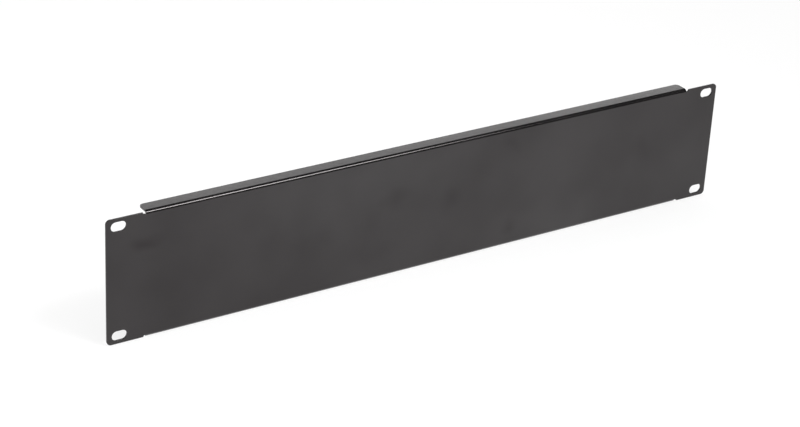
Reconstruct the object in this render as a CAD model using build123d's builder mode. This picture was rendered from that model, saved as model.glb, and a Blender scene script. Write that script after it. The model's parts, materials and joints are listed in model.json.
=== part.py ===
from build123d import *
import os

# Rack blanking panel: one steel sheet with a stiffening flange folded back along its top and bottom.
# Millimetres, +Z up, front face towards -Y. The origin is the centre of the four slots, on the rear
# face of the sheet, which is the face that seats against the rack rails.

# Rack standard
rack_unit = 44.45
units_high = 2
stacking_gap = 0.4  # the panel stops this far short of its rack units
hole_inset = 6.35  # from the edge of a rack unit to the nearest hole in the rail
panel_width = 482.6
slot_inset = 8.75  # from the end of an ear to the middle of its slots

# Sheet and folds
sheet = 1.2
inside_bend = 1.2
flange_depth = 11.0  # from the front face to the free edge of a flange
flange_corner = 3.0

# Ears at both ends, which stay flat
ear_width = 25.5
ear_step = 0.5  # the edge of an ear lies this far inside the flange beside it
ear_corner = 3.0
relief_width = 2.1  # notch between an ear and the fold beside it
relief_depth = 1.15  # from the edge of an ear to the bottom of a notch
relief_corner = 0.8
slot_length = 10.5
slot_width = 6.5

# Sizes that follow
panel_height = units_high * rack_unit - stacking_gap
slot_pitch_x = panel_width - 2 * slot_inset
slot_pitch_z = units_high * rack_unit - 2 * hole_inset
ear_height = panel_height - 2 * ear_step
ear_line = panel_width / 2 - ear_width  # where a notch ends and an ear starts
flange_length = 2 * (ear_line - relief_width)
outside_bend = inside_bend + sheet
fold_line = panel_height / 2 - outside_bend  # where the flat face ends and a fold starts
front = -sheet
flange_edge = front + flange_depth

with BuildPart() as panel:
    # Folded section of the sheet, between the ears
    with BuildSketch(Plane.YZ) as section:
        with Locations((front, 0)):
            Rectangle(flange_depth, panel_height, align=(Align.MIN, Align.CENTER))
        fillet(section.vertices().group_by(Axis.X)[0], radius=outside_bend)
        inner_height = panel_height - 2 * sheet
        Rectangle(flange_edge, inner_height, align=(Align.MIN, Align.CENTER), mode=Mode.SUBTRACT)
        fillet(section.vertices().group_by(Axis.X)[1], radius=inside_bend)
    extrude(amount=flange_length / 2, both=True)
    free_corners = panel.edges().filter_by(Axis.Z).group_by(Axis.Y)[-1]
    fillet(free_corners, radius=flange_corner)

    # Flat face and ears, cut back to the fold lines between the notches, with the slots punched through
    with BuildSketch(Plane.XZ) as face:
        Rectangle(panel_width, ear_height)
        fillet(face.vertices(), radius=ear_corner)
        with GridLocations(0, ear_height, 1, 2):
            Rectangle(2 * ear_line, 2 * relief_depth, mode=Mode.SUBTRACT)
            Rectangle(flange_length, ear_height - 2 * fold_line, mode=Mode.SUBTRACT)
        ear_corners = face.vertices().filter_by(lambda v: abs(abs(v.X) - ear_line) < 0.01)
        relief_corners = ear_corners.filter_by(lambda v: abs(v.Y) < ear_height / 2 - 0.01)
        fillet(relief_corners, radius=min(relief_corner, 0.9 * relief_depth, 0.9 * relief_width))
        with GridLocations(slot_pitch_x, slot_pitch_z, 2, 2):
            SlotOverall(slot_length, slot_width, mode=Mode.SUBTRACT)
    extrude(amount=sheet)

panel.part.label = "panel"
os.makedirs("parts", exist_ok=True)
export_step(panel.part, "parts/panel.step")
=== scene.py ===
import json
from math import cos, pi, radians, sin

import bmesh
import bpy
from mathutils import Matrix, Vector


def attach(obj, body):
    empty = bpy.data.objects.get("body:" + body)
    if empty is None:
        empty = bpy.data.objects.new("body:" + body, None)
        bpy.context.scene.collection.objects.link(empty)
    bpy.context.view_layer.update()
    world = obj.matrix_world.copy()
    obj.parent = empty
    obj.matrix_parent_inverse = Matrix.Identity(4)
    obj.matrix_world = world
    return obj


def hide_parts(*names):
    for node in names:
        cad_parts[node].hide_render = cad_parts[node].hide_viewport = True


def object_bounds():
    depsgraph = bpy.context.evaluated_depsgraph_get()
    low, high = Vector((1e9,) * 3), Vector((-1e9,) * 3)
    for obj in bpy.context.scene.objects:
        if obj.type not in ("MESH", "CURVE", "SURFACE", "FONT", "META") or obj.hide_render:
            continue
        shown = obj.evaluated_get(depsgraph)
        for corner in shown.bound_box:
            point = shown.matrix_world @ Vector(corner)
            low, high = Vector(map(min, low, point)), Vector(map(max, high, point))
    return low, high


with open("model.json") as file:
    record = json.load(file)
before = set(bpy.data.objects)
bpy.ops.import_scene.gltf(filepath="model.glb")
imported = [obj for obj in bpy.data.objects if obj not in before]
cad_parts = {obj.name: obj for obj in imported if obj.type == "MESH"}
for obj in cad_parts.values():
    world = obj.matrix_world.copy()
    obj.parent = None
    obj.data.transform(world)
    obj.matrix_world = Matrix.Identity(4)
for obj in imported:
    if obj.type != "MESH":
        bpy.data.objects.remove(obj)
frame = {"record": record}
cadLow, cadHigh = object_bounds()
scene = bpy.context.scene
mm = 0.001
tiny = 0.01 * mm  # slack when parts of a mesh are picked by their place
weld = 0.001 * mm  # points nearer to each other than this are one
quarterTurn = pi / 2
white = (1, 1, 1, 1)
print("frame loaded")


def pick(kind, test):  # by the middle of a face, both ends of an edge, or a point
    bpy.ops.mesh.select_mode(type=kind)
    bpy.ops.mesh.select_all(action="DESELECT")
    mesh = bmesh.from_edit_mesh(bpy.context.edit_object.data)
    if kind == "FACE":
        chosen = [face for face in mesh.faces if test(face.calc_center_bounds())]
    elif kind == "EDGE":
        chosen = [edge for edge in mesh.edges if all(test(end.co) for end in edge.verts)]
    else:
        chosen = [point for point in mesh.verts if test(point.co)]
    for item in chosen:
        item.select_set(True)
    mesh.select_flush_mode()
    bmesh.update_edit_mesh(bpy.context.edit_object.data)


def unpick(test):  # edges with an end that passes the test
    mesh = bmesh.from_edit_mesh(bpy.context.edit_object.data)
    for edge in mesh.edges:
        if any(test(end.co) for end in edge.verts):
            edge.select_set(False)
    mesh.select_flush_mode()
    bmesh.update_edit_mesh(bpy.context.edit_object.data)


def cutAcross(test, axis, places):  # bisects the faces that pass the test
    normal = Vector((axis == "x", axis == "y", axis == "z"))
    for place in places:
        pick("FACE", test)
        bpy.ops.mesh.bisect(plane_co=normal * place, plane_no=normal)


def roundCorners(test, radius, steps):
    pick("VERT", test)
    bpy.ops.mesh.bevel(offset=radius, segments=steps, affect="VERTICES")


def applyModifier(piece, kind, **settings):
    modifier = piece.modifiers.new(kind.title(), kind)
    for name, value in settings.items():
        setattr(modifier, name, value)
    bpy.ops.object.modifier_apply(modifier=modifier.name)


def addMath(tree, operation, *sources):  # each source is a number or another node's output
    node = tree.nodes.new("ShaderNodeMath")
    node.operation = operation
    for socket, source in zip(node.inputs, sources):
        if isinstance(source, bpy.types.NodeSocket):
            tree.links.new(source, socket)
        else:
            socket.default_value = source
    return node.outputs[0]


# Folded panel: one skin is drawn flat, folded, then given its thickness
panelSheet = {  # millimetres, apart from the steps
    "outsideBend": 2.4,
    "bendSteps": 10,
    "earWidth": 25.5,
    "earStep": 0.5,  # ear edge below the flange beside it
    "earCorner": 3.0,
    "reliefWidth": 2.1,
    "reliefSteps": 2,  # a notch stops this many bend steps up the fold
    "reliefCorner": 0.8,
    "foldEnd": 6.0,  # strip of a fold beside a notch
    "flangeCorner": 3.0,
    "cornerSteps": 12,
    "slotSteps": 64,
    "slotMargin": 1.0,  # flat ring kept round a slot
    "edgeRound": 0.15,  # coated sheared edge
    "edgeSteps": 3,
}


def makePanel(sizes, slotSizes):
    size = {name: value * mm if "Steps" not in name else value for name, value in sizes.items()}
    front, back, top, end = cadLow.y, cadHigh.y, cadHigh.z, cadHigh.x
    sheet = -front  # the rear of the sheet lies at zero
    bend = size["outsideBend"]
    foldLine = top - bend
    earTop = top - size["earStep"]
    earLine = end - size["earWidth"]
    flangeEnd = earLine - size["reliefWidth"]
    foldEnd = flangeEnd - size["foldEnd"]
    bendStep = quarterTurn / size["bendSteps"]
    stepAngles = [step * bendStep for step in range(1, size["reliefSteps"] + 1)]
    notchLine = foldLine + bend * sin(stepAngles[-1])
    slotX = slotSizes["spacing_x_mm"] / 2 * mm
    slotZ = slotSizes["spacing_y_mm"] / 2 * mm
    slotRadius = slotSizes["hole_r_mm"] * mm
    slotReach = slotSizes["slot_length_mm"] / 2 * mm
    slotTurn = pi / size["slotSteps"]  # half a step, so that the ends part evenly
    ringX = slotReach + size["slotMargin"]
    ringZ = slotRadius + size["slotMargin"]
    earCut = slotX - ringX  # the ears' ends are cut apart from the middle here
    sharpTurn = radians(50)  # a sheared edge turns by more, a bend step by less

    bpy.ops.mesh.primitive_plane_add(size=1, location=(0, front, 0), rotation=(quarterTurn, 0, 0))
    piece = bpy.context.object
    piece.name = "foldedPanel"
    piece.scale = (2 * end, 2 * earTop, 1)
    bpy.ops.object.transform_apply(location=True, rotation=True, scale=True)
    bpy.ops.object.mode_set(mode="EDIT")
    roundCorners(lambda c: True, size["earCorner"], size["cornerSteps"])

    # middle face with its relief notches
    def inMiddle(c):
        return abs(c.x) < earCut + tiny

    def inNotch(c):
        return flangeEnd - tiny < abs(c.x) < earLine + tiny

    notchSides = [side * place for side in (-1, 1) for place in (earLine, flangeEnd, foldEnd)]
    stepLines = [side * (foldLine + bend * sin(angle)) for side in (-1, 1) for angle in stepAngles]
    cutAcross(lambda c: True, "x", (-earCut, earCut))
    cutAcross(inMiddle, "x", notchSides)
    cutAcross(inMiddle, "z", (-foldLine, foldLine))
    cutAcross(inNotch, "z", stepLines)
    pick("FACE", lambda c: abs(c.x) < flangeEnd + tiny and abs(c.z) > foldLine - tiny)
    bpy.ops.mesh.delete(type="FACE")
    pick("FACE", lambda c: inNotch(c) and abs(c.z) > notchLine - tiny)
    bpy.ops.mesh.delete(type="FACE")
    pick("FACE", inMiddle)
    bpy.ops.mesh.dissolve_faces()
    pick("VERT", lambda c: abs(abs(c.x) - earCut) < tiny and abs(c.z) < earTop - tiny)
    bpy.ops.mesh.dissolve_verts()
    roundCorners(lambda c: abs(abs(c.x) - earLine) < tiny and abs(abs(c.z) - notchLine) < tiny,
                 size["reliefCorner"], size["cornerSteps"])

    # the foot of each notch gets faces of its own, because it bends with the fold
    footLine = earLine - size["reliefCorner"]
    footSteps = [line for line in stepLines if abs(line) < notchLine - size["edgeRound"]]
    cutAcross(inMiddle, "x", (-footLine, footLine))
    cutAcross(lambda c: abs(c.x) < footLine, "z", (-foldLine, foldLine))
    cutAcross(lambda c: abs(c.x) < footLine and abs(c.z) > foldLine, "z", footSteps)

    # slots, each bridged to a square opening cut round it
    def inEarEnd(c):
        return abs(c.x) > earCut - tiny

    ringLines = [side * (slotZ + step) for side in (-1, 1) for step in (-ringZ, ringZ)]
    cutAcross(inEarEnd, "x", (-slotX - ringX, slotX + ringX))
    cutAcross(inEarEnd, "z", ringLines)
    ahead = front - sheet  # a slot is drawn in front of the face, bridged, then pushed back into it
    for place in [Vector((x, ahead, z)) for x in (-slotX, slotX) for z in (-slotZ, slotZ)]:
        def inRing(c, place=place):
            return abs(c.x - place.x) < ringX + tiny and abs(c.z - place.z) < ringZ + tiny

        pick("FACE", inRing)
        bpy.ops.mesh.delete(type="FACE")
        pick("EDGE", inRing)
        bpy.ops.mesh.subdivide(number_cuts=size["slotSteps"] // 4 - 1)  # four sides
        bpy.ops.mesh.primitive_circle_add(vertices=size["slotSteps"], radius=slotRadius,
                                          location=place, rotation=(quarterTurn, slotTurn, 0))
        for side in (-1, 1):
            pick("VERT", lambda c: (c - place).length < slotRadius + tiny
                 and (c.x - place.x) * side > tiny)
            bpy.ops.transform.translate(value=(side * (slotReach - slotRadius), 0, 0))
        pick("EDGE", inRing)
        bpy.ops.mesh.bridge_edge_loops()
        pick("VERT", lambda c: c.y < front - tiny)
        bpy.ops.transform.translate(value=(0, sheet, 0))

    # flanges, folded back along the top and bottom; the notches' feet are bent first to meet them
    for angle in stepAngles:
        pick("VERT", lambda c: abs(abs(c.x) - flangeEnd) < tiny
             and abs(abs(c.z) - foldLine - bend * sin(angle)) < tiny)
        bpy.ops.transform.translate(value=(0, bend * (1 - cos(angle)), 0))
    for side in (-1, 1):
        pick("EDGE", lambda c: abs(c.x) < flangeEnd + tiny and abs(c.z - side * foldLine) < tiny)
        bpy.ops.mesh.spin(steps=size["bendSteps"], angle=quarterTurn, axis=(side, 0, 0),
                          center=(0, front + bend, side * foldLine))
        pick("EDGE", lambda c: abs(c.y - front - bend) < tiny and c.z * side > 0)
        bpy.ops.mesh.extrude_edges_move(
            TRANSFORM_OT_translate={"value": (0, back - front - bend, 0)})
    roundCorners(lambda c: c.y > back - tiny and abs(c.x) > flangeEnd - tiny,
                 size["flangeCorner"], size["cornerSteps"])

    bpy.ops.mesh.select_all(action="SELECT")
    bpy.ops.mesh.remove_doubles(threshold=weld)
    bpy.ops.mesh.normals_make_consistent(inside=False)
    skin = bmesh.from_edit_mesh(piece.data)
    if max(skin.faces, key=lambda face: face.calc_area()).normal.y > 0:  # the front faces -Y
        bpy.ops.mesh.flip_normals()
    bpy.ops.object.mode_set(mode="OBJECT")

    # thickness, then rounded edges, apart from the corners at the notches' feet
    applyModifier(piece, "SOLIDIFY", thickness=sheet, offset=-1, use_even_offset=True,
                  use_quality_normals=True)
    bpy.ops.object.mode_set(mode="EDIT")
    bpy.ops.mesh.select_mode(type="EDGE")
    bpy.ops.mesh.select_all(action="DESELECT")
    bpy.ops.mesh.edges_select_sharp(sharpness=sharpTurn)
    unpick(lambda c: abs(abs(c.x) - flangeEnd) < tiny and abs(c.z) < notchLine + tiny)
    bpy.ops.transform.edge_bevelweight(value=1)
    bpy.ops.object.mode_set(mode="OBJECT")
    applyModifier(piece, "BEVEL", width=size["edgeRound"], segments=size["edgeSteps"],
                  limit_method="WEIGHT", use_clamp_overlap=False)
    bpy.ops.object.shade_smooth()
    applyModifier(piece, "WEIGHTED_NORMAL")
    return piece


rackSlots = next(mount for mount in frame["record"]["mounts"] if mount["name"] == "rack_slots")
foldedPanel = makePanel(panelSheet, rackSlots["dims"])
print("panel folded:", len(foldedPanel.data.polygons), "faces")


# Satin black powder coat: fine grain, faint orange peel, cloudy gloss and a few rubbed places
powderCoat = {
    "deep": (0.0075, 0.0069, 0.0071, 1),
    "dusty": (0.0125, 0.0115, 0.0118, 1),
    "ior": 1.42,
    "tint": (1, 0.91, 0.935, 1),
    "roughness": (0.13, 0.17),
    "gloss": (0.34, 0.44),  # clear layer's share, from dull to bright clouds
    "noiseSpan": (0.3, 0.7),  # most of a noise's values lie in it
    "cloud": 60,  # sizes in millimetres
    "wander": 22,
    "rubDepth": 1.2,  # keeps the rubbed places off the rear
    "peel": 3.2,
    "peelHeight": 0.03,
    "grain": 0.7,
    "grainHeight": 0.01,
    "rubbed": (  # middle x and z, half width and half height in millimetres, change of gloss
        (-216, 21.5, 14, 8, -0.32),
        (-32, 12, 13, 9, -0.18),
        (16, 3, 10, 12, -0.16),
        (61, 32, 13, 9, -0.16),
        (66, -29, 10, 9, -0.18),
        (178, 5, 16, 10, -0.14),
        (-44, -24, 26, 10, -0.1),
        (-190, -8, 110, 75, -0.1),
        (200, 25, 90, 60, -0.12),
        (-58, 32, 105, 42, 0.34),
        (112, 0, 50, 65, 0.1),
        (100, -36, 80, 22, 0.18),
    ),
}


def makeCoat(look):
    material = bpy.data.materials.new("blackCoat")
    material.use_nodes = True
    tree = material.node_tree
    nodes, links = tree.nodes, tree.links
    shader = nodes["Principled BSDF"]
    shader.inputs["IOR"].default_value = look["ior"]
    shader.inputs["Specular Tint"].default_value = look["tint"]
    shader.inputs["Coat Roughness"].default_value = look["roughness"][0]
    place = nodes.new("ShaderNodeTexCoord").outputs["Object"]

    def addNoise(size, detail):
        noise = nodes.new("ShaderNodeTexNoise")
        noise.inputs["Scale"].default_value = 1 / (size * mm)
        noise.inputs["Detail"].default_value = detail
        links.new(place, noise.inputs["Vector"])
        return noise

    def addRange(source, ends):
        span = nodes.new("ShaderNodeMapRange")
        span.interpolation_type = "SMOOTHSTEP"
        limits = {"From": look["noiseSpan"], "To": ends}
        for name, (least, most) in limits.items():
            span.inputs[name + " Min"].default_value = least
            span.inputs[name + " Max"].default_value = most
        links.new(source, span.inputs["Value"])
        return span.outputs["Result"]

    # tone and gloss drift in soft clouds
    cloud = addNoise(look["cloud"], detail=2).outputs["Fac"]
    tone = nodes.new("ShaderNodeMix")
    tone.data_type = "RGBA"
    tone.inputs["A"].default_value = look["deep"]
    tone.inputs["B"].default_value = look["dusty"]
    links.new(addRange(cloud, (0, 1)), tone.inputs["Factor"])
    links.new(tone.outputs["Result"], shader.inputs["Base Color"])
    gloss = addRange(cloud, look["gloss"])

    # rubbed places, with wandering outlines
    wander = nodes.new("ShaderNodeVectorMath")
    wander.operation = "MULTIPLY_ADD"
    wander.inputs[1].default_value = (look["wander"] * mm, 0, look["wander"] * mm)
    links.new(addNoise(look["wander"], detail=1).outputs["Color"], wander.inputs[0])
    links.new(place, wander.inputs[2])
    half = look["wander"] / 2  # the wander's mean
    for x, z, width, height, change in look["rubbed"]:
        spot = nodes.new("ShaderNodeMapping")
        spot.vector_type = "TEXTURE"
        spot.inputs["Location"].default_value = ((x + half) * mm, cadLow.y, (z + half) * mm)
        spot.inputs["Scale"].default_value = (width * mm, look["rubDepth"] * mm, height * mm)
        links.new(wander.outputs[0], spot.inputs["Vector"])
        patch = nodes.new("ShaderNodeTexGradient")
        patch.gradient_type = "SPHERICAL"
        links.new(spot.outputs[0], patch.inputs["Vector"])
        gloss = addMath(tree, "MULTIPLY_ADD", patch.outputs["Fac"], change, gloss)
    links.new(gloss, shader.inputs["Coat Weight"])

    # grain over orange peel
    peel = addNoise(look["peel"], detail=1).outputs["Fac"]
    grain = addNoise(look["grain"], detail=2).outputs["Fac"]
    links.new(addRange(peel, look["roughness"]), shader.inputs["Roughness"])
    normal = None
    for height, depth in ((peel, look["peelHeight"]), (grain, look["grainHeight"])):
        bump = nodes.new("ShaderNodeBump")
        bump.inputs["Distance"].default_value = depth * mm
        links.new(height, bump.inputs["Height"])
        if normal:
            links.new(normal, bump.inputs["Normal"])
        normal = bump.outputs["Normal"]
    links.new(normal, shader.inputs["Normal"])
    return material


foldedPanel.data.materials.append(makeCoat(powderCoat))
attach(foldedPanel, "root")
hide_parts("panel")
print("coat made")


# Studio: white floor and backdrop, two softboxes, even light from the room
studio = {  # lengths in metres
    "floorReach": 5.0,
    "floorColour": 0.3,
    "floorGlow": 0.715,  # added where the camera or a gloss sees it
    "backdropPlace": 3.0,
    "backdropHeight": 1.92,
    "backdropColour": 0.2,
    "backdropGlow": 1.19,
    "roomLight": 0.8,
    "roomInGloss": 0.03,  # the room's own walls are dark
}
softboxes = {  # metres, watts and degrees
    "keySoftbox": {
        "place": (0.48, -0.94, 1.29),
        "aim": (-0.16, 0, 0),
        "size": (0.95, 0.42),
        "power": 1.0,
        "spread": 36,
    },
    "fillSoftbox": {
        "place": (-1.3, -0.9, 1.3),
        "aim": (0, 0, 0),
        "size": (1.2, 1.2),
        "power": 6,
        "spread": 180,
    },
}


def makePaper(name, colour, glow):
    paper = bpy.data.materials.new(name)
    paper.use_nodes = True
    tree = paper.node_tree
    shader = tree.nodes["Principled BSDF"]
    shader.inputs["Base Color"].default_value = (colour, colour, colour, 1)
    shader.inputs["Roughness"].default_value = 1
    shader.inputs["Specular IOR Level"].default_value = 0
    shader.inputs["Emission Color"].default_value = white
    path = tree.nodes.new("ShaderNodeLightPath").outputs
    gloss = addMath(tree, "MAXIMUM", path["Is Glossy Ray"], path["Is Transmission Ray"])
    seen = addMath(tree, "MAXIMUM", path["Is Camera Ray"], gloss)
    strength = addMath(tree, "MULTIPLY", seen, glow)
    tree.links.new(strength, shader.inputs["Emission Strength"])
    return paper


def makeBackground(look):
    ground, wall, reach = cadLow.z, look["backdropPlace"], look["floorReach"]
    bpy.ops.mesh.primitive_plane_add(size=2 * reach, location=(0, wall - reach, ground))
    floor = bpy.context.object
    floor.name = "studioFloor"
    floor.data.materials.append(makePaper("floorPaper", look["floorColour"], look["floorGlow"]))

    height = look["backdropHeight"]
    bpy.ops.mesh.primitive_plane_add(size=1, location=(0, wall, ground + height / 2),
                                     rotation=(quarterTurn, 0, 0))
    backdrop = bpy.context.object
    backdrop.name = "studioBackdrop"
    backdrop.scale = (2 * reach, height, 1)
    backdrop.visible_diffuse = False  # blocks none of the room's light
    backdropPaper = makePaper("backdropPaper", look["backdropColour"], look["backdropGlow"])
    backdrop.data.materials.append(backdropPaper)


def makeRoom(look):
    world = bpy.data.worlds.new("studioRoom")
    scene.world = world
    world.use_nodes = True
    world.cycles.sampling_method = "NONE"  # keeps its light out of the gloss
    tree = world.node_tree
    room = tree.nodes["Background"]
    room.inputs["Color"].default_value = white
    path = tree.nodes.new("ShaderNodeLightPath").outputs
    light = look["roomLight"]
    glossChange = look["roomInGloss"] - light
    cameraChange = 1 - light  # the camera sees white
    inGloss = addMath(tree, "MULTIPLY_ADD", path["Is Glossy Ray"], glossChange, light)
    seen = addMath(tree, "MULTIPLY_ADD", path["Is Camera Ray"], cameraChange, inGloss)
    tree.links.new(seen, room.inputs["Strength"])


def addSoftbox(name, look):
    place, aim = Vector(look["place"]), Vector(look["aim"])
    bpy.ops.object.light_add(type="AREA", location=place)
    softbox = bpy.context.object
    softbox.name = name
    softbox.data.shape = "RECTANGLE"
    softbox.data.size, softbox.data.size_y = look["size"]
    softbox.data.energy = look["power"]
    softbox.data.spread = radians(look["spread"])
    softbox.rotation_euler = (aim - place).to_track_quat("-Z", "Y").to_euler()
    softbox.visible_camera = False


makeBackground(studio)
makeRoom(studio)
for name, look in softboxes.items():
    addSoftbox(name, look)
print("studio set")


# Camera at the photograph's view
photoView = {  # metres, degrees, and millimetres for lens and sensor
    "place": (-0.7756, -1.1081, 0.6599),
    "turn": -34.11,
    "tilt": 63.737,
    "roll": 3.114,
    "lens": 100.97,
    "sensor": 36,
}
bpy.ops.object.camera_add(location=photoView["place"])
camera = bpy.context.object
camera.name = "photoCamera"
camera.data.lens = photoView["lens"]
camera.data.sensor_width = photoView["sensor"]
turn = Matrix.Rotation(radians(photoView["turn"]), 3, "Z")
tilt = Matrix.Rotation(radians(photoView["tilt"]), 3, "X")
roll = Matrix.Rotation(radians(photoView["roll"]), 3, "Z")
camera.rotation_euler = (turn @ tilt @ roll).to_euler()
scene.camera = camera
scene.view_settings.view_transform = "Standard"
print("camera placed")
